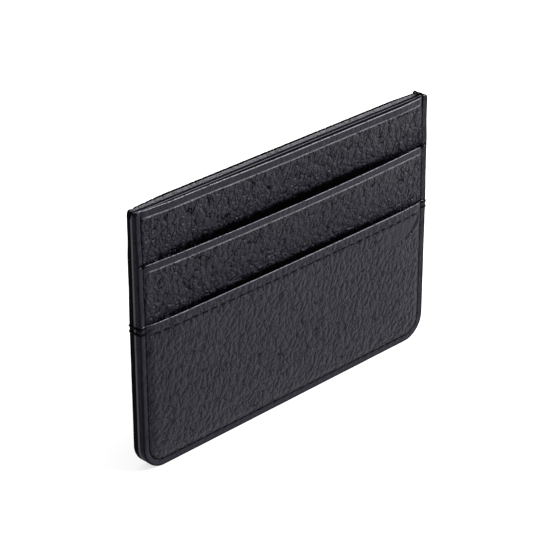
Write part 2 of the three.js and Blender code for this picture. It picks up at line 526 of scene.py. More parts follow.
@dataclass(frozen=True)
class PebbledLeather:
    """Black drum-dyed leather with a long leaning pebble, creased where it was pressed."""

    name: str = "pebbled_leather"
    tone: Colour = (0.0042, 0.0038, 0.0078)
    # Painted shade: the darker tone of the grain's creases.
    crease_shade_tone: Colour = (0.0008, 0.0008, 0.0014)
    sheen: tuple[float, ...] = (0.90, 0.88, 1.0, 1.0)
    pebble: Colour = (2.1, 2.1, 2.8)
    bead: Colour = (1.1, 1.1, 1.3)
    wrinkle: Colour = (1.7, 1.7, 2.5)
    patch: Colour = (1.6, 1.6, 2.2)
    pore: Colour = (0.20, 0.20, 0.24)
    lean: float = math.radians(13)
    relief: float = 0.70

    def material(self) -> bpy.types.Material:
        """Lays out the leather's nodes.

        Returns:
            The material. It reads what each point stores: "grain", 0 where the leather was pressed
            and 1 where it is full; "hollow", the share painted as shade; and "polish".
        """
        recipe = Recipe(self.name)
        grain, painted_shade, polish = map(recipe.stored, ("grain", "painted_shade", "polish"))
        edge = recipe.walls(recipe.wobble(recipe.place(self.pebble, self.lean), 0.8, 0.7))
        bead = recipe.walls(recipe.wobble(recipe.place(self.bead, self.lean), 1.0, 0.6))
        wrinkle = recipe.noise(self.wrinkle, self.lean, 3.0)
        pores = recipe.noise(self.pore)
        broken = recipe.noise(self.patch, self.lean).rise(0.42, 0.58)
        crease = (1 - edge.rise(0.0, 0.075)) * grain * broken
        fine = (bead.rise(0.0, 0.35) * 0.42 + pores * 0.10) * grain * grain
        height = (edge.rise(0.0, 0.35) * 0.5 + wrinkle * 0.6) * grain + fine - crease * 0.25
        roughness = 0.33 + crease * 0.2 + pores * 0.16
        # Painted shade: creases take the darker tone, and creases and the stored share are mixed
        # towards near-black.
        colour = recipe.tint(self.tone, self.crease_shade_tone, crease)
        shade = painted_shade * (wrinkle * 1.4 + 0.4) + painted_shade * crease * 0.4
        dark = (crease * 0.85 + shade.rise(0.05, 1.0)).rise(0.0, 1.0)
        return recipe.finish(colour, roughness, height, self.relief,
                             {"Specular IOR Level": 0.17, "Specular Tint": self.sheen,
                              "Coat Weight": polish * (wrinkle * 0.9), "Coat Roughness": 0.28},
                             dark)


@dataclass(frozen=True)
class PaintedEdge:
    """Edge paint, burnished to a dull shine and cracked across where it bends, with painted shade
    in the cracks.
    """

    name: str = "painted_edge"
    tone: Colour = (0.0050, 0.0048, 0.0085)
    crack_shade_tone: Colour = (0.001, 0.001, 0.001)
    roughness: float = 0.2
    gloss: float = 0.75
    density: float = 1.5
    sheen: tuple[float, ...] = (0.88, 0.89, 1.0, 1.0)
    cell: Colour = (0.9, 2.4, 0.9)
    ripple: Colour = (0.45, 0.45, 0.45)
    relief: float = 0.07

    def material(self) -> bpy.types.Material:
        """Lays out the paint's nodes.

        Returns:
            The material.
        """
        recipe = Recipe(self.name)
        cell = recipe.walls(recipe.wobble(recipe.place(self.cell), 1.2, 0.8))
        crack = 1 - cell.rise(0.0, 0.05)
        ripple = recipe.noise(self.ripple)
        height = ripple * 0.5 - crack * 0.6
        # Painted shade: the cracks take a near-black tone and are mixed towards near-black.
        colour = recipe.tint(self.tone, self.crack_shade_tone, crack)
        return recipe.finish(colour, self.roughness + ripple * 0.2, height, self.relief,
                             {"Specular IOR Level": self.gloss, "IOR": self.density,
                              "Specular Tint": self.sheen}, crack * 0.8)


@dataclass(frozen=True)
class Twill:
    """Thin lining cloth, with a twill's slanting ribs."""

    name: str = "twill_lining"
    tone: Colour = (0.010, 0.010, 0.012)
    rib_tone: Colour = (0.003, 0.003, 0.004)
    rib: float = 0.34
    slant: float = math.radians(45)
    fibre: Colour = (0.3, 0.3, 0.3)
    relief: float = 0.05

    def material(self) -> bpy.types.Material:
        """Lays out the cloth's nodes.

        Returns:
            The material.
        """
        recipe = Recipe(self.name)
        turned = recipe.place((self.rib, self.rib, self.rib), self.slant)
        parts = [recipe.add("ShaderNodeSeparateXYZ", {"Vector": turned}, axis) for axis in (0, 2)]
        ribs = (parts[0] * (2 * math.pi)).sine() * 0.5 + 0.5
        yarns = (parts[1] * (4 * math.pi)).sine() * 0.5 + 0.5
        fuzz = recipe.noise(self.fibre)
        height = ribs * 0.7 + yarns * 0.2 + fuzz * 0.3
        colour = recipe.tint(self.rib_tone, self.tone, ribs * 0.6 + fuzz * 0.5)
        return recipe.finish(colour, 0.75 + fuzz * 0.2, height, self.relief,
                             {"Specular IOR Level": 0.2, "IOR": 1.15})


@dataclass(frozen=True)
class BondedBoard:
    """Bonded leather board: pressed fibres in a matt brown sheet."""

    name: str = "bonded_board"
    tone: Colour = (0.020, 0.016, 0.013)
    dark_tone: Colour = (0.008, 0.007, 0.006)
    fibre: Colour = (0.25, 0.25, 1.6)
    fleck: Colour = (1.2, 1.2, 0.7)
    lean: float = 0.6
    relief: float = 0.05

    def material(self) -> bpy.types.Material:
        """Lays out the board's nodes.

        Returns:
            The material.
        """
        recipe = Recipe(self.name)
        fibres = recipe.noise(self.fibre, self.lean, 4.0)
        flecks = recipe.noise(self.fleck)
        colour = recipe.tint(self.dark_tone, self.tone, fibres * 0.7 + flecks * 0.4)
        return recipe.finish(colour, 0.8 + fibres * 0.1, fibres, self.relief)


@dataclass(frozen=True)
class WaxedThread:
    """Waxed sewing thread, with its plies twisted along each stitch."""

    name: str = "waxed_thread"
    tone: Colour = (0.0018, 0.0018, 0.0024)
    ply_tone: Colour = (0.0005, 0.0005, 0.0006)
    turns: float = 3.0
    fibre: Colour = (0.12, 0.12, 0.12)
    relief: float = 0.05

    def material(self) -> bpy.types.Material:
        """Lays out the thread's nodes.

        Returns:
            The material.
        """
        recipe = Recipe(self.name)
        unwrapped = recipe.add("ShaderNodeTexCoord", output="UV")
        around, along = (recipe.add("ShaderNodeSeparateXYZ", {"Vector": unwrapped}, axis)
                         for axis in (0, 1))
        twist = (around * (4 * math.pi) + along * (4 * math.pi * self.turns)).sine()
        plies = twist * 0.5 + 0.5
        fuzz = recipe.noise(self.fibre)
        colour = recipe.tint(self.ply_tone, self.tone, plies * 0.7 + fuzz * 0.4)
        return recipe.finish(colour, 0.40 + fuzz * 0.2, plies * 0.8 + fuzz * 0.2, self.relief,
                             {"Specular IOR Level": 0.15, "IOR": 1.12})


@dataclass
class Wardrobe:
    """Every finish, made once and handed to the pieces."""

    leather: bpy.types.Material = field(init=False)
    edge: bpy.types.Material = field(init=False)
    top_edge: bpy.types.Material = field(init=False)
    side_edge: bpy.types.Material = field(init=False)
    dull_shaded_edge: bpy.types.Material = field(init=False)
    shaded_top_strip: bpy.types.Material = field(init=False)
    lining: bpy.types.Material = field(init=False)
    highlit_cut_cloth: bpy.types.Material = field(init=False)
    board: bpy.types.Material = field(init=False)
    thread: bpy.types.Material = field(init=False)

    def __post_init__(self) -> None:
        """Makes the materials."""
        self.leather = PebbledLeather().material()
        self.edge = PaintedEdge().material()
        self.top_edge = PaintedEdge("burnished_top", roughness=0.3, gloss=0.32).material()
        self.side_edge = PaintedEdge("burnished_side", tone=(0.0030, 0.0033, 0.0080),
                                     roughness=0.40, gloss=0.05).material()
        # Painted shade: the back stack's side paint is near-black as well as dull.
        self.dull_shaded_edge = PaintedEdge("dull_shaded_side", tone=(0.002, 0.002, 0.003), roughness=0.6,
                                     gloss=0.05, density=1.22).material()
        # Painted shade: a near-black paint for the strip along the back of the top band.
        self.shaded_top_strip = PaintedEdge("shaded_top_strip", tone=(0.001, 0.001, 0.0015), roughness=0.7,
                                    gloss=0.02, density=1.06).material()
        self.lining = Twill().material()
        # Painted highlight: the cloth's cut edge is about ten times lighter than its face, for the
        # top edge that catches the light.
        self.highlit_cut_cloth = Twill("cut_lining", tone=(0.11, 0.11, 0.12),
                               rib_tone=(0.06, 0.06, 0.07)).material()
        self.board = BondedBoard().material()
        self.thread = WaxedThread().material()


# ---------------------------------------------------------------------------------------------
# Mesh tools

CUT_EDGE_ANGLE = math.radians(62)
SHARP_ANGLE = math.radians(50)


def deselect_all() -> None:
    """Leaves nothing selected, so that an operator acts on new pieces only."""
    if bpy.context.object and bpy.context.object.mode != "OBJECT":
        bpy.ops.object.mode_set(mode="OBJECT")
    bpy.ops.object.select_all(action="DESELECT")


def take(piece: bpy.types.Object) -> None:
    """Makes a piece the only one selected, and the active one.

    Args:
        piece: The piece to select.
    """
    deselect_all()
    piece.select_set(True)
    bpy.context.view_layer.objects.active = piece


def apply_modifier(piece: bpy.types.Object, name: str, kind: str, **settings: object) -> None:
    """Adds a modifier and applies it at once.

    Args:
        piece: The object to change.
        name: The modifier's name.
        kind: The modifier's type.
        settings: The modifier's settings.
    """
    take(piece)
    modifier = piece.modifiers.new(name, kind)
    for key, value in settings.items():
        setattr(modifier, key, value)
    bpy.ops.object.modifier_apply(modifier=modifier.name)


def seat(side: Side, x: Array, depth: Array, z: Array) -> Array:
    """Puts places on one side of the holder.

    Args:
        side: The stack that they belong to.
        x: Distances to the right, as that side is looked at, in millimetres.
        depth: Depths outwards from the central plane, in millimetres.
        z: Heights, in millimetres.

    Returns:
        The places in metres, one to a row.
    """
    across = x * -side.value
    return np.stack([across, depth * side.value, z], axis=-1) * MM


@dataclass
class Membrane:
    """A grid of points that is laid over a surface and then given its thickness."""

    name: str
    columns: int
    rows: int

    def lay(self, shape: Callable[[Array, Array], Array]) -> bpy.types.Object:
        """Adds the grid and moves each of its points into place.

        Args:
            shape: Gives the places for shares across (-1 to 1) and up (0 to 1), in metres.

        Returns:
            The new object.
        """
        deselect_all()
        bpy.ops.mesh.primitive_grid_add(x_subdivisions=self.columns, y_subdivisions=self.rows,
                                        size=2.0)
        piece = bpy.context.object
        piece.name = piece.data.name = self.name
        points = np.empty(len(piece.data.vertices) * 3)
        piece.data.vertices.foreach_get("co", points)
        points = points.reshape(-1, 3)
        placed = shape(points[:, 0], (points[:, 1] + 1) / 2)
        piece.data.vertices.foreach_set("co", placed.ravel())
        piece.data.update()
        return piece


def thicken(piece: bpy.types.Object, thickness: float, rim: int, rounding: float) -> None:
    """Turns a membrane into a closed sheet with eased edges.

    Easing may not carry a point past where the plain sheet ended, across or in depth.

    Args:
        piece: The membrane; its face stays where it is and the sheet grows inwards.
        thickness: The sheet's thickness, in millimetres.
        rim: The number of the cut edge's material among the piece's materials.
        rounding: How far the edges are eased, in millimetres.
    """
    apply_modifier(piece, "thickness", "SOLIDIFY", thickness=thickness * MM, offset=-1.0,
                   use_even_offset=False, material_offset_rim=rim)
    across = [abs(vertex.co.x) for vertex in piece.data.vertices]
    depths = [vertex.co.y for vertex in piece.data.vertices]
    reach, near, far = max(across), min(depths), max(depths)
    if rounding:
        apply_modifier(piece, "eased_edge", "BEVEL", width=rounding * MM, segments=3,
                       limit_method="ANGLE", angle_limit=CUT_EDGE_ANGLE,
                       use_clamp_overlap=False, material=rim)
    for vertex in piece.data.vertices:
        vertex.co.x = min(max(vertex.co.x, -reach), reach)
        vertex.co.y = min(max(vertex.co.y, near), far)
    take(piece)
    bpy.ops.object.shade_smooth_by_angle(angle=SHARP_ANGLE)


def spread_rows(marks: Iterable[tuple[float, float]]) -> Array:
    """Heights of a sheet's rows, close together where it shows.

    Args:
        marks: Pairs of a height and the row spacing that leads up to it, from the bottom up.

    Returns:
        The heights, in millimetres.
    """
    heights, reached = [0.0], 0.0
    for height, spacing in marks:
        count = max(1, round((height - reached) / spacing))
        heights += [reached + (height - reached) * step / count for step in range(1, count + 1)]
        reached = height
    return np.array(heights)


# ---------------------------------------------------------------------------------------------
# Sheets

SEAM_SWELL = 0.58
MOUTH_STEP = 0.35


@dataclass
class Sheet:
    """One cut sheet of a stack, as a depth map over the pattern's outline."""

    pattern: Pattern
    side: Side
    layer: str = ""
    slot: Slot = Slot.LEATHER
    thickness: float = 0.45
    top: float = 70.0
    foot: float = 0.0
    inset: float = 0.12
    columns: int = 300
    rounding: float = 0.16
    grain: float = 1.0
    # Strength of the painted shade along the side margins.
    margin_shade: float = 0.34
    creased: bool = False
    marks: tuple[tuple[float, float], ...] = ((70.0, 0.4),)
    broad: Undulation = field(init=False)
    close: Undulation = field(init=False)

    def __post_init__(self) -> None:
        """Gives each sheet its own relief."""
        seed = sum(map(ord, self.layer)) * 2 + self.side.value
        self.broad, self.close = Undulation(seed, 9.0), Undulation(seed + 7, 2.3)

    @property
    def name(self) -> str:
        """The name of the CAD node that this sheet stands for."""
        return f"{self.side.label}_{self.layer}"

    def half_width(self, z: Array) -> Array:
        """Half the sheet's width at each height, before its corners are rounded."""
        return np.full_like(z, self.pattern.half_width - self.inset)

    def face(self, x: Array, z: Array) -> Array:
        """Depth of the outer face.

        Args:
            x: Distances across.
            z: Heights on the flat pattern.

        Returns:
            The depth at each place.
        """
        raise NotImplementedError

    def sag(self, x: Array, z: Array) -> Array:
        """How far each place has dropped because the sheet bows outwards."""
        return np.zeros_like(x)

    def pressing(self, x: Array, z: Array) -> Array:
        """Share of the grain left where the leather was pressed or creased."""
        return np.full_like(x, self.grain)

    def sewn_relief(self, x: Array, z: Array) -> Array:
        """How the side seam pulls the leather in, a little more at each needle hole.

        Args:
            x: Distances across.
            z: Heights.

        Returns:
            What the seam adds to the depth.
        """
        pattern = self.pattern
        distance = pattern.edge_distance(x, z)
        hole = pattern.needle_hole(pattern.seam_run(x, z))
        pull = bump(pattern.seam_inset, 0.34, distance) * (0.08 + 0.18 * hole)
        puff = bump(pattern.seam_inset + 1.0, 0.5, distance) * (0.03 + 0.04 * hole)
        return puff - pull

    def crease_relief(self, crease: float, z: Array) -> Array:
        """The line that a hot creasing iron pressed beside the edge.

        Args:
            crease: The line's height.
            z: Heights.

        Returns:
            What the line adds to the depth.
        """
        groove = -0.20 * bump(crease, 0.15, z)
        swell = 0.07 * bump(crease - 0.4, 0.3, z) + 0.05 * bump(crease + 0.9, 0.6, z)
        return groove + swell

    def worked_relief(self, x: Array, z: Array) -> Array:
        """The slight waviness of worked leather."""
        return 0.035 * self.broad(x, z) + 0.012 * self.close(x, z * 0.6 - x * 0.3)

    def place(self, u: Array, v: Array) -> Array:
        """Maps the flat grid on to the sheet.

        Args:
            u: Shares across, from -1 to 1.
            v: Shares up, from 0 to 1.

        Returns:
            Places in metres.
        """
        heights = spread_rows(self.marks)
        z = np.interp(v * (len(heights) - 1), np.arange(len(heights)), heights)
        z = self.foot + (z - heights[0]) * (self.top - self.foot) / (heights[-1] - heights[0])
        x = u * self.half_width(z)
        x, z = self.round_corners(x, z)
        return seat(self.side, x, self.face(x, z), z - self.sag(x, z))

    def round_corners(self, x: Array, z: Array) -> tuple[Array, Array]:
        """Rounds the sheet's corners.

        Args:
            x: Distances across, on a square-cornered sheet.
            z: Heights, on a square-cornered sheet.

        Returns:
            The same places with the corners drawn in.
        """
        pattern = self.pattern
        bottom = pattern.corner - self.inset
        x, z = draw_in(x, z, pattern.half_width - self.inset - bottom, self.foot + bottom,
                       bottom, -1)
        return draw_in(x, z, pattern.half_width - self.inset - pattern.top_corner,
                       self.top - pattern.top_corner, pattern.top_corner, 1)

    def build(self, wardrobe: Wardrobe) -> bpy.types.Object:
        """Makes the sheet and dresses it.

        Args:
            wardrobe: The finishes.

        Returns:
            The finished piece.
        """
        rows = len(spread_rows(self.marks)) - 1
        piece = Membrane(f"{self.name}_sheet", self.columns, rows).lay(self.place)
        self.dress(piece, wardrobe)
        self.mark_face(piece)
        thicken(piece, self.thickness, 1, self.rounding)
        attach(piece, "root")
        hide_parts(self.name)
        return piece

    def dress(self, piece: bpy.types.Object, wardrobe: Wardrobe) -> None:
        """Gives the sheet its finishes: the face first, then the cut edge."""
        piece.data.materials.append(wardrobe.leather)
        piece.data.materials.append(wardrobe.edge)

    def mark_face(self, piece: bpy.types.Object) -> None:
        """Stores each point's grain, painted shade and polish for the leather's material.

        Args:
            piece: The sheet, before it gets its thickness.
        """
        points = np.empty(len(piece.data.vertices) * 3)
        piece.data.vertices.foreach_get("co", points)
        points = points.reshape(-1, 3) / MM
        x, z = points[:, 0] * -self.side.value, points[:, 2]
        z = z + self.sag(x, z)
        for name, values in (("grain", self.pressing(x, z)), ("painted_shade", self.painted_shade(x, z)),
                             ("polish", self.polish(x, z))):
            attribute = piece.data.attributes.new(name, "FLOAT", "POINT")
            attribute.data.foreach_set("value", values)

    def polish(self, x: Array, z: Array) -> Array:
        """Share of each place that a hot iron has burnished: the wall below the crease."""
        line = bump(self.top - self.pattern.crease_drop - 0.16, 0.20, z)
        return line * smooth(1.9, 2.6, self.pattern.edge_distance(x, z)) * self.creased

    def painted_shade(self, x: Array, z: Array) -> Array:
        """Share of each place painted as shade: beside a stitch, or at the side margin.

        Args:
            x: Distances across.
            z: Heights.

        Returns:
            The shares, highest in the needle holes.
        """
        pattern = self.pattern
        hole = pattern.needle_hole(pattern.seam_run(x, z))
        beside = bump(pattern.seam_inset, 0.30, pattern.edge_distance(x, z))
        inside = pattern.half_width - np.abs(x)
        margin = self.margin_shade * (1 - smooth(1.1, 2.0, inside))
        return np.maximum(beside * (0.25 + 0.35 * hole), margin)


def draw_in(x: Array, z: Array, centre_x: float, centre_z: float, radius: float,
            way: int) -> tuple[Array, Array]:
    """Rounds one pair of corners by drawing their squares in to quarter discs.

    Args:
        x: Distances across.
        z: Heights.
        centre_x: Distance of the corners' centres from the middle.
        centre_z: Height of the corners' centres.
        radius: The corners' radius.
        way: 1 for upper corners and -1 for lower ones.

    Returns:
        The new distances and heights.
    """
    across = np.maximum(np.abs(x) - centre_x, 0)
    beyond = np.maximum((z - centre_z) * way, 0)
    inside = (across > 0) & (beyond > 0)
    reach = np.hypot(across, beyond) + 1e-9
    ease = np.where(inside, np.maximum(across, beyond) / reach, 1.0)
    new_x = np.where(inside, np.sign(x) * (centre_x + across * ease), x)
    new_z = np.where(inside, centre_z + way * beyond * ease, z)
    return new_x, new_z


@dataclass
class Cloth(Sheet):
    """A sheet of lining cloth, glued flat, with rounded lower corners."""

    slot: Slot = Slot.LINING
    rounding: float = 0.0

    @property
    def backing(self) -> str:
        """The name of the piece that the cloth is glued to."""
        raise NotImplementedError

    def dress(self, piece: bpy.types.Object, wardrobe: Wardrobe) -> None:
        """Gives the cloth its finishes: the face, then a much lighter cut edge that is a painted
        highlight on the lit top edge.
        """
        piece.data.materials.append(wardrobe.lining)
        piece.data.materials.append(wardrobe.highlit_cut_cloth)

    def cut_away(self, width: float) -> float:
        """Area that was cut off a rectangle of the cloth's width and length."""
        return 2 * self.pattern.corner**2 * (1 - math.pi / 4)

    def build(self, wardrobe: Wardrobe) -> bpy.types.Object:
        """Makes the cloth; its flat size, backing and area are worked out but not used.

        Args:
            wardrobe: The finishes.

        Returns:
            The finished piece.
        """
        piece = super().build(wardrobe)
        width = float(2 * self.half_width(np.array(self.top)))
        length = self.top - self.foot
        length * MM
        self.backing
        (width * length - self.cut_away(width)) * MM**2
        return piece


@dataclass
class Lining(Cloth):
    """The cloth that faces the middle pocket, the full height of the stack."""

    layer: str = "lining"
    thickness: float = 0.26
    inset: float = 0.06
    columns: int = 200
    marks: tuple[tuple[float, float], ...] = ((60.0, 1.4), (70.0, 0.4))

    @property
    def backing(self) -> str:
        """The board behind the cloth."""
        return f"{self.side.label}_stiffener"

    def face(self, x: Array, z: Array) -> Array:
        """Depth of the face that is glued to the stack.

        Args:
            x: Distances across.
            z: Heights.

        Returns:
            The depth at each place.
        """
        fast, _ = self.pattern.inward(x, z)
        flare = 0.10 * smooth(68.3, self.top, z) * self.pattern.bow(x)
        return 0.28 + 0.21 * fast + flare


@dataclass
class Step(Sheet):
    """A leather that shows above the mouth of the pocket in front of it."""

    creased: bool = True
    # Painted shade inside the mouth in front: its strength, and the heights over which it fades.
    mouth_shade: float = 0.92
    shade_heights: tuple[float, float] = (0.3, 2.9)

    @property
    def crest(self) -> float:
        """Height of the step's top edge, paint included."""
        return self.top

    @property
    def mouth(self) -> float:
        """Height of the mouth in front."""
        raise NotImplementedError

    def creased_face(self, x: Array, z: Array, shown: Array) -> Array:
        """Adds the seam, the waviness and the creasing iron's line to a step.

        Args:
            x: Distances across.
            z: Heights.
            shown: Depths of the plain step.

        Returns:
            Its depths in full.
        """
        fast, _ = self.pattern.inward(x, z)
        shown = shown + self.sewn_relief(x, z) + self.worked_relief(x, z) * fast
        line = self.crease_relief(self.crest - self.pattern.crease_drop, z)
        return shown + line * smooth(0.25, 0.8, fast)

    def covered_share(self, x: Array, z: Array, clear: tuple[float, float]) -> Array:
        """Change from the covered part of the leather to the step.

        Args:
            x: Distances across.
            z: Heights.
            clear: Heights between which the leather swells away from the seams.

        Returns:
            0 where the leather is covered, up to 1 where it shows.
        """
        fast, _ = self.pattern.inward(x, z)
        beside = smooth(self.mouth, self.mouth + MOUTH_STEP, z)
        return mix(beside, smooth(*clear, z), fast)

    def painted_shade(self, x: Array, z: Array) -> Array:
        """Adds the painted shade inside the mouth in front.

        Args:
            x: Distances across.
            z: Heights.

        Returns:
            The share of shade at each place.
        """
        low, high = (self.mouth + rise for rise in self.shade_heights)
        inside = np.sqrt(self.pattern.bow(x)) * (1 - smooth(low, high, z))
        return np.maximum(super().painted_shade(x, z), self.mouth_shade * inside)

    def pressing(self, x: Array, z: Array) -> Array:
        """Grain is full on the step and nearly gone above the crease.

        Args:
            x: Distances across.
            z: Heights.

        Returns:
            The share of grain left at each place.
        """
        beside = smooth(1.2, 2.4, self.pattern.edge_distance(x, z))
        above = smooth(self.crest - self.pattern.crease_drop - 0.5, self.crest - 1.2, z)
        return self.grain * (1 - 0.85 * above) * (0.12 + 0.88 * beside)


@dataclass
class Panel(Step):
    """The tall outer leather, which shows as the top step."""

    layer: str = "panel"
    thickness: float = 0.38
    marks: tuple[tuple[float, float], ...] = (
        (52.0, 2.0), (67.2, 0.3), (68.7, 0.11), (70.0, 0.3))
    gape: dict[Side, float] = field(default_factory=lambda: {Side.FRONT: 0.55,
                                                             Side.BACK: 0.08})
    gape_span: tuple[float, float] = (-36.0, -4.0)
    flare_heights: tuple[float, float] = (60.0, 69.0)
    margin_heights: tuple[float, float] = (56.5, 64.0)
    clear_heights: tuple[float, float] = (55.3, 61.5)
    hidden_edge: float = 0.75
    met_edge: float = 1.77
    shown_edge: float = 1.5
    plumpness: float = 0.53

    @property
    def crest(self) -> float:
        """The holder's full height."""
        return self.pattern.height

    @property
    def mouth(self) -> float:
        """The upper mouth."""
        return self.pattern.upper_mouth

    def face(self, x: Array, z: Array) -> Array:
        """Depth of the outer face: pressed thin below the pockets, full above them.

        Args:
            x: Distances across.
            z: Heights.

        Returns:
            The depth at each place.
        """
        fast, slow = self.pattern.inward(x, z)
        covered = self.hidden_edge + SEAM_SWELL * fast
        margin = mix(self.met_edge, self.shown_edge, smooth(*self.margin_heights, z))
        gape = self.gape[self.side] * smooth(*self.gape_span, x)
        flare = (0.08 + gape) * smooth(*self.flare_heights, z) * fast
        step = mix(margin, self.shown_edge, fast) + self.plumpness * slow + flare
        return mix(covered, self.creased_face(x, z, step),
                   self.covered_share(x, z, self.clear_heights))


@dataclass
class UpperPocket(Step):
    """The T-shaped leather of the upper pocket, whose mouth bows open."""

    layer: str = "upper_pocket"
    thickness: float = 0.42
    grain: float = 0.9
    shade_heights: tuple[float, float] = (0.1, 2.2)
    marks: tuple[tuple[float, float], ...] = (
        (26.0, 2.2), (27.6, 0.4), (45.2, 0.3), (46.7, 0.11), (48.0, 0.3))
    hidden_edge: float = 1.29
    met_edge: float = 1.95
    shown_edge: float = 1.78
    plumpness: float = 0.12
    mouth_bow: float = 1.28
    mouth_sag: float = 0.12
    margin_heights: tuple[float, float] = (41.0, 50.0)
    clear_heights: tuple[float, float] = (40.0, 45.0)
    sag_foot: float = 44.0
    arm_curve: float = 0.9

    @property
    def mouth(self) -> float:
        """The lower mouth."""
        return self.pattern.lower_mouth

    def half_width(self, z: Array) -> Array:
        """Narrow below the arms of the T, the full width above.

        Args:
            z: Heights.

        Returns:
            Half the leather's width at each height.
        """
        pattern = self.pattern
        arms = smooth(pattern.tab_bottom - self.arm_curve,
                      pattern.tab_bottom + self.arm_curve, z)
        return mix(pattern.stem_half_width, pattern.half_width - self.inset, arms)

    def round_corners(self, x: Array, z: Array) -> tuple[Array, Array]:
        """Only the corners beside the mouth are rounded.

        Args:
            x: Distances across.
            z: Heights.

        Returns:
            The same places with those corners drawn in.
        """
        pattern = self.pattern
        return draw_in(x, z, pattern.half_width - self.inset - pattern.top_corner,
                       self.top - pattern.top_corner, pattern.top_corner, 1)

    def sag(self, x: Array, z: Array) -> Array:
        """The mouth drops a little as it bows out."""
        return self.mouth_sag * self.pattern.bow(x) * smooth(self.sag_foot, self.top, z)

    def face(self, x: Array, z: Array) -> Array:
        """Depth of the outer face: pressed thin below, bowed out towards the mouth.

        Args:
            x: Distances across.
            z: Heights.

        Returns:
            The depth at each place.
        """
        fast, _ = self.pattern.inward(x, z)
        covered = self.hidden_edge + SEAM_SWELL * fast
        rise = smooth(self.margin_heights[0], self.top + 1.0, z) ** 1.25
        margin = mix(self.met_edge, self.shown_edge, smooth(*self.margin_heights, z))
        step = (mix(margin, self.shown_edge + self.plumpness, fast)
                + self.mouth_bow * self.pattern.bow(x) * rise)
        return mix(covered, self.creased_face(x, z, step),
                   self.covered_share(x, z, self.clear_heights))


@dataclass
class LowerPocket(Sheet):
    """The leather of the lower pocket, the widest face of the holder."""

    layer: str = "lower_pocket"
    grain: float = 0.62
    marks: tuple[tuple[float, float], ...] = ((40.3, 0.34),)
    edge_depth: float = 1.96
    mouth_bow: float = 0.5
    bow_foot: float = 22.0
    patch_centre: tuple[float, float] = (37.5, 38.0)
    patch_reach: tuple[float, float] = (9.5, 7.0)
    patch_span: tuple[float, float] = (30.0, 38.0)
    patch_top: tuple[float, float] = (36.0, 38.5)

    def row(self, x: Array) -> tuple[float, Array, Array]:
        """The row of stitches below the mouth.

        Args:
            x: Distances across.

        Returns:
            The row's height, how near each place is to a needle hole, and the row's extent.
        """
        pattern = self.pattern
        hole = pattern.needle_hole(x - pattern.pitch / 2)
        within = smooth(0.4, 0.9, pattern.half_width - pattern.seam_inset - np.abs(x))
        return self.top - pattern.mouth_seam_drop, hole, within

    def face(self, x: Array, z: Array) -> Array:
        """Depth of the outer face.

        Args:
            x: Distances across.
            z: Heights.

        Returns:
            The depth at each place.
        """
        pattern = self.pattern
        fast, slow = pattern.inward(x, z)
        rise = smooth(self.bow_foot, self.top + 2.0, z)
        bowed = self.mouth_bow * pattern.bow(x) * rise
        row, hole, within = self.row(x)
        sewn = -bump(row, 0.38, z) * (0.07 + 0.13 * hole) * within
        puffed = 0.04 * (bump(row - 1.2, 0.6, z) + bump(row + 1.2, 0.6, z)) * within
        return (self.edge_depth + 0.5 * fast + 0.29 * slow + bowed + sewn + puffed
                + self.sewn_relief(x, z) + self.worked_relief(x, z) * fast
                + self.wrinkle(x, z))

    def pulled(self, x: Array, z: Array) -> tuple[Array, Array]:
        """Where the right end of the mouth pulls the leather into a smooth patch.

        Args:
            x: Distances across.
            z: Heights.

        Returns:
            The distance beyond the patch's round edge, as a share of its radius, and how
            clearly the patch shows.
        """
        (centre_x, centre_z), (wide, high) = self.patch_centre, self.patch_reach
        beyond = np.hypot((x - centre_x) / wide, (z - centre_z) / high) - 1
        return beyond, smooth(*self.patch_span, x) * (1 - smooth(*self.patch_top, z))

    def wrinkle(self, x: Array, z: Array) -> Array:
        """The soft fold round the patch that the right end of the mouth pulls smooth.

        Args:
            x: Distances across.
            z: Heights.

        Returns:
            What the fold adds to the depth.
        """
        beyond, shown = self.pulled(x, z)
        return shown * (0.15 * bump(0.07, 0.10, beyond) - 0.17 * bump(-0.06, 0.06, beyond))

    def painted_shade(self, x: Array, z: Array) -> Array:
        """Adds the painted shade along the mouth's row to that of the side seam.

        Args:
            x: Distances across.
            z: Heights.

        Returns:
            The share of shade at each place.
        """
        row, hole, within = self.row(x)
        along = bump(row, 0.22, z) * (0.12 + 0.15 * hole) * within
        return np.maximum(super().painted_shade(x, z), along)

    def pressing(self, x: Array, z: Array) -> Array:
        """Grain fades beside the seams and towards the mouth.

        Args:
            x: Distances across.
            z: Heights.

        Returns:
            The share of grain left at each place.
        """
        pattern = self.pattern
        beside = smooth(1.2, 2.4, pattern.edge_distance(x, z))
        above = smooth(self.top - 1.8, self.top - 0.8, z)
        beyond, shown = self.pulled(x, z)
        pulled = 0.75 * shown * (1 - smooth(-0.1, 0.1, beyond))
        return self.grain * (1 - 0.5 * above) * (0.12 + 0.88 * beside) * (1 - pulled)


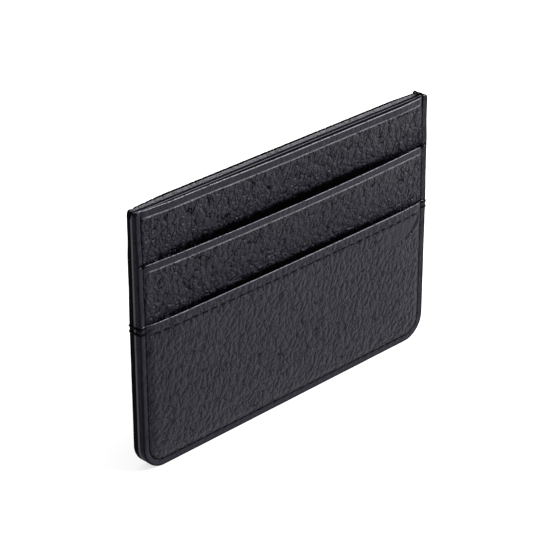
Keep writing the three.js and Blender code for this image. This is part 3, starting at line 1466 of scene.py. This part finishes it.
@dataclass
class PocketLining(Cloth):
    """Thin cloth glued to the back of a pocket's leather."""

    leather: Sheet | None = None
    thickness: float = 0.08
    columns: int = 160
    inset: float = 0.8
    glue: float = 0.03

    def __post_init__(self) -> None:
        """Takes its outline from the leather that it lines."""
        leather = self.leather
        self.layer = f"{leather.layer}_lining"
        self.top = leather.top - self.inset
        self.foot = leather.foot + self.inset
        self.marks = ((leather.top - 12, 1.6), (leather.top, 0.5))
        super().__post_init__()

    def half_width(self, z: Array) -> Array:
        """The leather's width, less the inset on both sides."""
        return self.leather.half_width(z) - self.inset + self.leather.inset

    def round_corners(self, x: Array, z: Array) -> tuple[Array, Array]:
        """Square shoulders on the T; rounded lower corners where the leather has them.

        Args:
            x: Distances across.
            z: Heights.

        Returns:
            The same places, with round corners drawn in.
        """
        if isinstance(self.leather, UpperPocket):
            return x, z
        return super().round_corners(x, z)

    def face(self, x: Array, z: Array) -> Array:
        """Depth of the glued face, just behind the leather."""
        return self.leather.face(x, z) - self.leather.thickness - self.glue

    def sag(self, x: Array, z: Array) -> Array:
        """It drops with the leather."""
        return self.leather.sag(x, z)

    @property
    def backing(self) -> str:
        """The leather that the cloth lines."""
        return f"{self.leather.name}_sheet"

    def cut_away(self, width: float) -> float:
        """Area beside the stem of the T, or what the rounded corners take.

        Args:
            width: The cloth's width, in millimetres.

        Returns:
            The area in square millimetres.
        """
        if not isinstance(self.leather, UpperPocket):
            return super().cut_away(width)
        narrow = 2 * (self.pattern.stem_half_width - self.inset)
        return (width - narrow) * (self.pattern.tab_bottom - self.foot)


# ---------------------------------------------------------------------------------------------
# Painted edges


@dataclass
class Coat:
    """A painted bead along an edge of one stack.

    Its profile gives points across the bead: how far each lies in from the edge, and its
    share of the way from the stack's inner side to its outer face.
    """

    pattern: Pattern
    stack: "Stack"
    edge: str = ""
    thickness: float = 0.12
    inner_depth: float = 0.25
    columns: int = 560
    profile: tuple[tuple[float, float], ...] = ()

    def section(self, way: Array) -> tuple[Array, Array]:
        """Looks the profile up.

        Args:
            way: Shares of the way along the profile.

        Returns:
            The insets and the shares at those places.
        """
        step = way * (len(self.profile) - 1)
        insets, shares = (np.interp(step, np.arange(len(row)), row)
                          for row in np.array(self.profile).T)
        return insets, shares

    def place(self, u: Array, v: Array) -> Array:
        """Wraps the flat grid over the edge.

        Args:
            u: Shares along the edge, from -1 to 1.
            v: Shares across it, from the inner side outwards.

        Returns:
            Places in metres.
        """
        raise NotImplementedError

    def dress(self, piece: bpy.types.Object, wardrobe: Wardrobe) -> None:
        """Gives the bead its paint."""
        raise NotImplementedError

    def build(self, wardrobe: Wardrobe) -> bpy.types.Object:
        """Makes the bead and dresses it.

        Args:
            wardrobe: The finishes.

        Returns:
            The finished piece.
        """
        name = f"{self.stack.side.label}_{self.edge}_coat"
        piece = Membrane(name, self.columns, len(self.profile) - 1).lay(self.place)
        self.dress(piece, wardrobe)
        thicken(piece, self.thickness, 0, 0.0)
        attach(piece, "root")
        return piece


@dataclass
class EdgeCoat(Coat):
    """The painted bead over the sewn edges of one stack's leathers."""

    edge: str = "edge"
    thickness: float = 0.11
    profile: tuple[tuple[float, float], ...] = (
        (0.46, -0.02), (0.14, -0.01), (0.02, 0.06), (0.0, 0.22), (0.0, 0.5), (0.0, 0.78),
        (0.02, 0.94), (0.14, 1.01), (0.46, 1.02),
    )

    def place(self, u: Array, v: Array) -> Array:
        """Wraps the flat grid round the three sewn edges.

        Args:
            u: Shares along the edge, from -1 to 1.
            v: Shares across it, from the inner side outwards.

        Returns:
            Places in metres.
        """
        pattern = self.pattern
        inset, share = self.section(v)
        half = pattern.path_half_length(0.0, pattern.height - pattern.coat)
        x, z, out_x, out_z = pattern.path(u * half, 0.0)
        x, z = x - out_x * inset, z - out_z * inset
        x = x - np.sign(x) * pattern.corner_cut(z - (pattern.height - pattern.top_corner))
        outer = self.stack.shown_depth(x, z)
        lump = 0.03 * self.stack.panel.close(u * half, share * 3)
        return seat(self.stack.side, x, mix(self.inner_depth, outer, share) + lump * (share > 0.9),
                    z)

    def dress(self, piece: bpy.types.Object, wardrobe: Wardrobe) -> None:
        """Gives the bead its paint: at the back a duller and near-black one, partly real dullness
        and partly painted shade along the back stack's side.
        """
        front = self.stack.side is Side.FRONT
        piece.data.materials.append(wardrobe.side_edge if front else wardrobe.dull_shaded_edge)


@dataclass
class TopCoat(Coat):
    """The painted band along the top of the back stack, cracked where the stack flexes."""

    edge: str = "top_edge"
    columns: int = 640
    inner_depth: float = 0.30
    end_gap: float = 0.35
    crack_spacing: float = 2.6
    crack_width: float = 0.16
    crack_depth: float = 0.13
    bright_share: float = 0.52
    profile: tuple[tuple[float, float], ...] = (
        (0.55, 0.0), (0.22, 0.01), (0.05, 0.07), (0.0, 0.18), (0.0, 0.30), (0.0, 0.42),
        (0.0, 0.52), (0.01, 0.62), (0.02, 0.74), (0.03, 0.88), (0.05, 1.0), (0.5, 1.005),
    )

    def cracks(self, x: Array, share: Array) -> Array:
        """Slanting cracks across the band.

        Args:
            x: Distances across the holder.
            share: Shares of the band's width.

        Returns:
            The cracks' depth, from 0 to 1.
        """
        drift = self.stack.panel.broad(x * 2.0, x * 0.0) * 0.9
        phase = (x + drift + share * 0.9) / self.crack_spacing
        away = np.abs(phase - np.round(phase)) * self.crack_spacing
        kept = 0.35 + 0.65 * smooth(-0.5, 0.5, self.stack.panel.close(x * 0.5, x * 0.0 + 9))
        return np.exp(-((away / self.crack_width) ** 2)) * kept

    def outer_depth(self, x: Array) -> Array:
        """Depth of the panel's outer face just below its top edge."""
        return self.stack.panel.face(x, np.full_like(x, self.pattern.height - 0.4))

    def place(self, u: Array, v: Array) -> Array:
        """Wraps the flat grid over the top edge.

        Args:
            u: Shares along the edge, from -1 to 1.
            v: Shares across it, from the inner side outwards.

        Returns:
            Places in metres.
        """
        pattern = self.pattern
        drop, share = self.section(1 - v)
        x = u * (pattern.half_width - self.end_gap)
        drawn = pattern.corner_cut(np.abs(x) - (pattern.half_width - pattern.top_corner))
        cracks = self.crack_depth * self.cracks(x, share) * (drop < 0.3)
        z = pattern.height - drop - drawn - cracks
        z = z - 0.02 * (1 + self.stack.panel.close(x * 1.7, share * 2))
        outer = self.outer_depth(x) + 0.03
        return seat(self.stack.side, x, mix(self.inner_depth, outer, share), z)

    def dress(self, piece: bpy.types.Object, wardrobe: Wardrobe) -> None:
        """Burnishes the band, apart from the strip beside the outer face, which takes a
        near-black, barely reflecting paint: painted shade where the edge turns away from the
        light.

        Args:
            piece: The bead, before it gets its thickness.
            wardrobe: The finishes.
        """
        piece.data.materials.append(wardrobe.top_edge)
        piece.data.materials.append(wardrobe.shaded_top_strip)
        for face in piece.data.polygons:
            x = np.array([face.center.x / MM * -self.stack.side.value])
            outer = float(self.outer_depth(x)[0])
            reach = face.center.y / MM * self.stack.side.value - self.inner_depth
            if reach > self.bright_share * (outer - self.inner_depth):
                face.material_index = 1


# ---------------------------------------------------------------------------------------------
# Sewing


Ends = tuple[Vector, Vector]


@dataclass
class Sewing:
    """A set of stitches that stands for one CAD thread."""

    node: str
    spans: list[Ends]
    width: float = 0.44
    height: float = 0.32
    segments: int = 8
    rings: int = 7

    def build(self, wardrobe: Wardrobe) -> bpy.types.Object:
        """Makes one stitch, copies it into place and joins the copies.

        Args:
            wardrobe: The finishes.

        Returns:
            The finished piece.
        """
        model = self.model_stitch()
        stitches = [self.copy_stitch(model, *ends) for ends in self.spans]
        bpy.data.objects.remove(model, do_unlink=True)
        take(stitches[0])
        for stitch in stitches:
            stitch.select_set(True)
        if len(stitches) > 1:
            bpy.ops.object.join()
        piece = bpy.context.object
        ending = "es" if self.node.endswith("ch") else "s"
        piece.name = piece.data.name = self.node + ending
        piece.data.materials.append(wardrobe.thread)
        bpy.ops.object.shade_smooth()
        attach(piece, "root")
        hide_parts(self.node)
        return piece

    def model_stitch(self) -> bpy.types.Object:
        """Makes one stitch of length 1 along Z, plump all along with blunt ends.

        Returns:
            The stitch, to be copied.
        """
        deselect_all()
        bpy.ops.mesh.primitive_uv_sphere_add(segments=self.segments, ring_count=self.rings,
                                             radius=1.0)
        stitch = bpy.context.object
        for vertex in stitch.data.vertices:
            blunt = max(1e-3, 1 - abs(vertex.co.z) ** 3.4)
            ring = max(1e-6, math.hypot(vertex.co.x, vertex.co.y))
            swell = blunt**0.5 / ring if ring > 1e-3 else 0.0
            vertex.co.x *= swell * self.width / 2
            vertex.co.y *= swell * self.height / 2
            vertex.co.z *= 0.5
        return stitch

    def copy_stitch(self, model: bpy.types.Object, start: Vector,
                    end: Vector) -> bpy.types.Object:
        """Copies the stitch between two points.

        Args:
            model: The stitch to copy.
            start: Where it begins, in millimetres.
            end: Where it ends, in millimetres.

        Returns:
            The copy, with its place in its mesh.
        """
        stitch = model.copy()
        stitch.data = model.data.copy()
        bpy.context.collection.objects.link(stitch)
        along = (end - start).normalized()
        upright = Vector((0, 1, 0)) if abs(along.y) < 0.9 else Vector((1, 0, 0))
        across = upright.cross(along).normalized()
        outward = along.cross(across)
        turn = Matrix((across, outward, along * (end - start).length)).transposed().to_4x4()
        stitch.data.transform(Matrix.Scale(MM, 4) @ Matrix.Translation((start + end) / 2)
                              @ turn)
        return stitch


# ---------------------------------------------------------------------------------------------
# The holder


@dataclass
class Stack:
    """One side of the holder: its sheets, its painted edges and its own seams."""

    pattern: Pattern
    side: Side
    lining: Lining = field(init=False)
    panel: Panel = field(init=False)
    upper: UpperPocket = field(init=False)
    lower: LowerPocket = field(init=False)
    stitch_length: float = 1.95
    thread_rise: float = 0.07
    tack_angles: tuple[float, ...] = (90, 38, 142)
    tack_reach: float = 0.95
    tack_rise: float = 0.16
    lining_tops: dict[Side, float] = field(default_factory=lambda: {Side.FRONT: 69.55,
                                                                    Side.BACK: 68.8})

    def __post_init__(self) -> None:
        """Cuts the sheets to the pattern."""
        pattern = self.pattern
        self.lining = Lining(pattern, self.side, top=self.lining_tops[self.side])
        coat = pattern.coat if self.side is Side.BACK else 0.0
        self.panel = Panel(pattern, self.side, top=pattern.height - coat)
        self.upper = UpperPocket(pattern, self.side, top=pattern.upper_mouth,
                                 foot=pattern.stem_foot)
        self.lower = LowerPocket(pattern, self.side, top=pattern.lower_mouth)

    def shown_depth(self, x: Array, z: Array) -> Array:
        """Depth of the outermost face at each place.

        Args:
            x: Distances across, as this side is looked at.
            z: Heights.

        Returns:
            The depths, with soft steps at the mouths.
        """
        pattern = self.pattern
        low = self.lower.face(x, np.minimum(z, pattern.lower_mouth))
        middle = self.upper.face(x, np.clip(z, pattern.lower_mouth + MOUTH_STEP,
                                            pattern.upper_mouth))
        high = self.panel.face(x, np.maximum(z, pattern.upper_mouth + MOUTH_STEP))
        depth = mix(low, middle, smooth(-0.05, 0.3, z - pattern.lower_mouth))
        return mix(depth, high, smooth(-0.05, 0.3, z - pattern.upper_mouth))

    def at(self, x: float, z: float, rise: float = 0.0) -> Vector:
        """A point on the outermost face.

        Args:
            x: Distance to the right, as this side is looked at.
            z: Height.
            rise: How far the point stands out from the face.

        Returns:
            The point in millimetres, in the holder's own frame.
        """
        depth = float(self.shown_depth(np.array([x]), np.array([z]))[0]) + rise
        return Vector((-x * self.side.value, depth * self.side.value, z))

    def local_x(self, hand: Hand) -> int:
        """Sign of x on this side for one end of the holder."""
        return hand.value * -self.side.value

    def perimeter(self) -> Sewing:
        """The side seam: up both sides and along the bottom.

        Returns:
            The seam's stitches.
        """
        pattern = self.pattern
        half = pattern.path_half_length(pattern.seam_inset, pattern.height - 1.6)
        jitter = np.random.default_rng(11 + self.side.value)
        spans = []
        for hand in (-1, 1):
            for run in np.arange(pattern.pitch / 2, half, pattern.pitch):
                reach = self.stitch_length / 2 + jitter.uniform(-0.08, 0.08)
                slant = jitter.uniform(-0.04, 0.10)
                ends = []
                for way in (-1, 1):
                    x, z, _, _ = pattern.path(np.array(hand * run + way * reach),
                                              pattern.seam_inset + way * slant)
                    ends.append(self.at(float(x), float(z), self.thread_rise))
                spans.append(tuple(ends))
        return Sewing(f"{self.side.label}_perimeter_stitch", spans)

    def level_row(self, name: str, half: float, point: Callable[[float], Vector],
                  seed: int) -> Sewing:
        """A level row of stitches.

        Args:
            name: The CAD thread's name, without its side.
            half: Half the row's length.
            point: Gives the point of the row at a distance across.
            seed: Seeds the row's unevenness.

        Returns:
            The row.
        """
        jitter = np.random.default_rng(seed + self.side.value)
        pitch = self.pattern.pitch
        count = int(half / pitch - 0.5)
        spans = []
        for step in range(-count, count + 1):
            reach = self.stitch_length / 2 + jitter.uniform(-0.06, 0.06)
            spans.append((point(step * pitch - reach), point(step * pitch + reach)))
        return Sewing(f"{self.side.label}_{name}", spans)

    def mouth_row(self) -> Sewing:
        """The decorative row below the lower mouth.

        Returns:
            The row.
        """
        pattern = self.pattern
        half = pattern.half_width - pattern.seam_inset - pattern.tack_offset
        height = pattern.lower_mouth - pattern.mouth_seam_drop
        return self.level_row("lower_mouth_stitch", half,
                              lambda x: self.at(x, height, self.thread_rise - 0.02), 31)

    def foot_row(self) -> Sewing:
        """The hidden row that sews the foot of the upper pocket down.

        Returns:
            The row.
        """
        pattern = self.pattern
        half = pattern.stem_half_width - pattern.foot_seam_rise
        height = pattern.stem_foot + pattern.foot_seam_rise

        def point(x: float) -> Vector:
            """A point on the covered face of the upper pocket."""
            face = float(self.upper.face(np.array([x]), np.array([height]))[0])
            return Vector((-x * self.side.value, (face + 0.02) * self.side.value, height))

        return self.level_row("pocket_foot_stitch", half, point, 41)

    def mouth_tack(self, hand: Hand) -> Sewing:
        """The back-stitches that tie one end of the upper mouth, crossed like a star.

        Args:
            hand: The end of the holder.

        Returns:
            The tack.
        """
        pattern = self.pattern
        x = self.local_x(hand) * (pattern.half_width - pattern.seam_inset - 0.1)
        z = pattern.upper_mouth + 0.1
        spans = []
        for angle in self.tack_angles:
            step = Vector((math.cos(math.radians(angle)), 0, math.sin(math.radians(angle))))
            ends = [self.at(x + step.x * way, z + step.z * way, self.tack_rise)
                    for way in (-self.tack_reach, self.tack_reach)]
            spans.append(tuple(ends))
        return Sewing(f"{self.side.label}_{hand.label}_mouth_tack", spans, width=0.34)

    def build(self, wardrobe: Wardrobe) -> None:
        """Makes every piece of the stack and logs it.

        Args:
            wardrobe: The finishes.
        """
        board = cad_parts[f"{self.side.label}_stiffener"]
        board.data.materials.clear()
        board.data.materials.append(wardrobe.board)
        makers = [
            self.lining, self.panel, self.upper, self.lower,
            PocketLining(self.pattern, self.side, leather=self.upper),
            PocketLining(self.pattern, self.side, leather=self.lower),
            EdgeCoat(self.pattern, self), self.perimeter(), self.mouth_row(), self.foot_row(),
            self.mouth_tack(Hand.LEFT), self.mouth_tack(Hand.RIGHT),
        ]
        if self.side is Side.BACK:
            makers.append(TopCoat(self.pattern, self))
        for maker in makers:
            report(maker.build(wardrobe))


@dataclass
class CardHolder:
    """The whole holder: two stacks and the threads that bind them together."""

    pattern: Pattern
    front: Stack = field(init=False)
    back: Stack = field(init=False)
    wrap_drops: tuple[float, float] = (0.5, 2.0)
    wrap_thread: float = 0.55
    wrap_rise: float = 0.16
    top_wrap_course: tuple[tuple[float, float], ...] = (
        (-3.2, 0.06), (-1.7, 0.12), (-0.2, 0.20), (0.42, -0.10), (0.52, -0.75), (0.0, -1.25))

    def __post_init__(self) -> None:
        """Lays the two stacks out."""
        self.front = Stack(self.pattern, Side.FRONT)
        self.back = Stack(self.pattern, Side.BACK)

    def edge_wrap(self, hand: Hand) -> Sewing:
        """Thread whipped twice over the side edge, just below the lower mouths.

        Args:
            hand: The end of the holder.

        Returns:
            The wraps.
        """
        pattern = self.pattern
        inner = pattern.half_width - pattern.seam_inset + 0.1
        outer = pattern.half_width + self.wrap_rise
        spans = []
        for drop in self.wrap_drops:
            z = pattern.lower_mouth - drop
            points = []
            for stack in (self.back, self.front):
                sign = stack.local_x(hand)
                ends = [stack.at(sign * inner, z, 0.1), stack.at(sign * (outer - 0.3), z, 0.12)]
                corner = stack.at(sign * (outer - 0.3), z, -0.25)
                corner.x = hand.value * outer
                ends.append(corner)
                points.append(ends)
            back, front = points
            spans += [(back[0], back[1]), (back[1], back[2]), (back[2], front[2]),
                      (front[2], front[1]), (front[1], front[0])]
        return Sewing(f"{hand.label}_edge_wrap_stitch", [stretched(*ends) for ends in spans],
                      width=self.wrap_thread, height=0.3)

    def top_wrap(self) -> Sewing:
        """The thread's end, taken once over the top edge at the right-hand corner.

        Its course is given, on each side, as heights above the top edge and rises off the face.

        Returns:
            The wrap.
        """
        pattern = self.pattern
        x = pattern.half_width - pattern.seam_inset - 0.3
        spans, crests = [], []
        for stack in (self.front, self.back):
            local = x * stack.local_x(Hand.RIGHT)
            points = [stack.at(local, pattern.height + up, out)
                      for up, out in self.top_wrap_course]
            spans += list(zip(points, points[1:]))
            crests.append(points[-1])
        spans.append((crests[0], crests[1]))
        return Sewing("right_top_wrap_stitch", [stretched(*ends) for ends in spans],
                      width=self.wrap_thread + 0.1, height=0.5)

    def build(self, wardrobe: Wardrobe) -> None:
        """Makes the whole holder.

        Args:
            wardrobe: The finishes.
        """
        self.front.build(wardrobe)
        self.back.build(wardrobe)
        for sewing in (self.edge_wrap(Hand.LEFT), self.edge_wrap(Hand.RIGHT), self.top_wrap()):
            report(sewing.build(wardrobe))


def stretched(start: Vector, end: Vector, extra: float = 0.12) -> Ends:
    """Makes a span reach a little past both of its ends, so that spans overlap.

    Args:
        start: Where the span begins.
        end: Where it ends.
        extra: How far it reaches on, in millimetres.

    Returns:
        The new ends.
    """
    along = (end - start).normalized() * extra
    return start - along, end + along


def report(piece: bpy.types.Object) -> None:
    """Logs a finished piece."""
    log.info("%s: %d faces", piece.name, len(piece.data.polygons))


# ---------------------------------------------------------------------------------------------
# The studio


@dataclass(frozen=True)
class Lamp:
    """One square soft lamp that faces the holder."""

    name: str
    place: Colour
    size: float
    radiance: float

    def hang(self) -> None:
        """Adds the lamp."""
        deselect_all()
        bpy.ops.object.light_add(type="AREA", location=self.place)
        lamp = bpy.context.object
        lamp.name = lamp.data.name = self.name
        lamp.data.size = self.size
        lamp.data.energy = self.radiance * math.pi * self.size**2
        lamp.rotation_euler = (-Vector(self.place)).to_track_quat("-Z", "Y").to_euler()


@dataclass(frozen=True)
class Studio:
    """A pale floor, a pale room that is darker on the left, and soft lamps."""

    floor_size: float = 8.0
    floor_tone: Colour = (0.35, 0.35, 0.35)
    floor_glow: float = 0.72
    floor_patch: Colour = (90.0, 90.0, 90.0)
    light_way: Colour = (0.45, -0.1, 0.89)
    dark_room: Colour = (0.22, 0.22, 0.24)
    bright_room: Colour = (1.0, 1.0, 1.02)
    lamps: tuple[Lamp, ...] = (
        Lamp("rim_lamp", (0.80, 0.82, 0.62), 0.85, 2.6),
        Lamp("front_lamp", (0.80, -0.50, 0.88), 1.00, 13.0),
    )

    def build(self) -> None:
        """Lays the floor, lights the room and hangs the lamps."""
        self.lay_floor()
        self.light_room()
        for lamp in self.lamps:
            lamp.hang()

    def lay_floor(self) -> None:
        """Adds the floor."""
        deselect_all()
        bpy.ops.mesh.primitive_plane_add(size=self.floor_size, location=(0, 0, 0))
        floor = bpy.context.object
        floor.name = floor.data.name = "floor"
        bpy.ops.object.transform_apply(location=True, rotation=True, scale=True)
        recipe = Recipe("floor")
        patch = recipe.noise(self.floor_patch)
        tone = recipe.tint(self.floor_tone, tuple(c * 0.99 for c in self.floor_tone), patch)
        glow = {"Emission Color": (1, 1, 1, 1), "Emission Strength": self.floor_glow,
                "Specular IOR Level": 0.0}
        floor.data.materials.append(recipe.finish(tone, 0.9, patch, 0.01, glow))

    def light_room(self) -> None:
        """Lights the room: bright above and to the right, dimmer low down on the left."""
        world = bpy.data.worlds.new("room")
        bpy.context.scene.world = world
        world.use_nodes = True
        nodes, links = world.node_tree.nodes, world.node_tree.links
        way = nodes.new("ShaderNodeTexCoord")
        lean = nodes.new("ShaderNodeVectorMath")
        lean.operation = "DOT_PRODUCT"
        lean.inputs[1].default_value = self.light_way
        ramp = nodes.new("ShaderNodeValToRGB")
        ramp.color_ramp.elements[0].color = (*self.dark_room, 1)
        ramp.color_ramp.elements[1].color = (*self.bright_room, 1)
        links.new(way.outputs["Generated"], lean.inputs[0])
        links.new(lean.outputs["Value"], ramp.inputs["Fac"])
        links.new(ramp.outputs["Color"], nodes["Background"].inputs["Color"])
        bpy.context.scene.view_settings.view_transform = "Standard"


@dataclass(frozen=True)
class Viewpoint:
    """The camera: a long lens, from the front left and above."""

    azimuth: float = -44.754
    elevation: float = 27.809
    distance: float = 539.4
    aim_height: float = 38.0
    shift_right: float = -1.372
    shift_up: float = -3.536
    lens: float = 139.0
    sensor: float = 36.0
    nearest: float = 0.01

    def build(self) -> None:
        """Sets the camera up."""
        turn, lift = math.radians(self.azimuth), math.radians(self.elevation)
        back = Vector((math.sin(turn) * math.cos(lift), -math.cos(turn) * math.cos(lift),
                       math.sin(lift)))
        right = Vector((math.cos(turn), math.sin(turn), 0))
        aim = (Vector((0, 0, self.aim_height)) + right * self.shift_right
               + back.cross(right) * self.shift_up)
        deselect_all()
        bpy.ops.object.camera_add(location=(aim + back * self.distance) * MM)
        camera = bpy.context.object
        camera.name = camera.data.name = "camera"
        camera.rotation_euler = Matrix((right, back.cross(right), back)).transposed().to_euler()
        camera.data.lens = self.lens
        camera.data.sensor_width = self.sensor
        camera.data.clip_start = self.nearest
        bpy.context.scene.camera = camera


def main() -> None:
    """Builds the holder, the studio and the camera."""
    logging.basicConfig(level=logging.INFO, format="%(message)s")
    CardHolder(Pattern.from_frame()).build(Wardrobe())
    Studio().build()
    Viewpoint().build()


if __name__ == "__main__":
    main()
